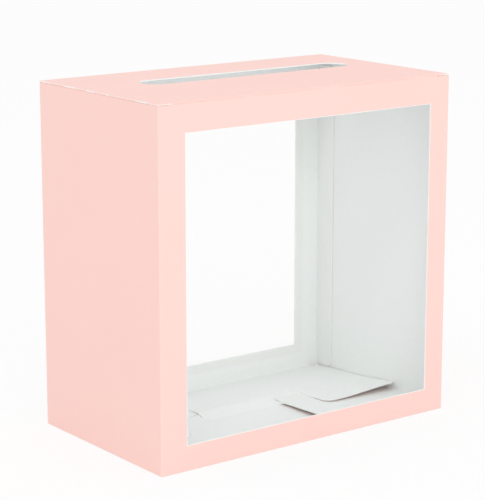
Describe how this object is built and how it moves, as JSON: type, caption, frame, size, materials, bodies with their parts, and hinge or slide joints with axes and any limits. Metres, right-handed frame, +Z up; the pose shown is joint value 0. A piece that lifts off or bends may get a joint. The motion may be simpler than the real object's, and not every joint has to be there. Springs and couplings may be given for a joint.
{
  "type": "wedding card box",
  "caption": "Folded paperboard card box, pink outside and white inside, with clear windows front and back, a slotted tuck lid and a snap-lock bottom.",
  "frame": {"origin": "centre of the base, on the surface that the box stands on", "axes": "+X to the right seen from the front window, +Y towards the back wall, +Z up"},
  "size_m": [0.254, 0.146, 0.251],
  "materials": {
    "pink_board": "matte",
    "clear_film": "gloss",
    "paper_glue": "matte"
  },
  "bodies": {
    "box": {"front_panel": "pink_board", "back_panel": "pink_board", "left_panel": "pink_board", "right_panel": "pink_board", "glue_flap": "pink_board", "side_seam_glue": "paper_glue", "front_window_film": "clear_film", "back_window_film": "clear_film", "front_film_glue": "paper_glue", "back_film_glue": "paper_glue", "bottom_back_flap": "pink_board", "bottom_left_flap": "pink_board", "bottom_right_flap": "pink_board", "bottom_front_flap": "pink_board"},
    "lid": {"lid_panel": "pink_board"},
    "tuck": {"tuck_flap": "pink_board"},
    "left_dust": {"left_dust_flap": "pink_board"},
    "right_dust": {"right_dust_flap": "pink_board"}
  },
  "joints": [
    {"name": "lid_hinge", "type": "hinge", "parent": "box", "child": "lid", "pos_m": [0, 0.073, 0.251], "axis": [-1, 0, 0], "range_deg": [0, 175]},
    {"name": "tuck_crease", "type": "hinge", "parent": "lid", "child": "tuck", "pos_m": [0, -0.07125, 0.2501], "axis": [1, 0, 0], "range_deg": [0, 80]},
    {"name": "left_dust_crease", "type": "hinge", "parent": "box", "child": "left_dust", "pos_m": [-0.1262, 0, 0.2492], "axis": [0, 1, 0], "range_deg": [0, 80]},
    {"name": "right_dust_crease", "type": "hinge", "parent": "box", "child": "right_dust", "pos_m": [0.1262, 0, 0.2492], "axis": [0, -1, 0], "range_deg": [0, 80]}
  ]
}
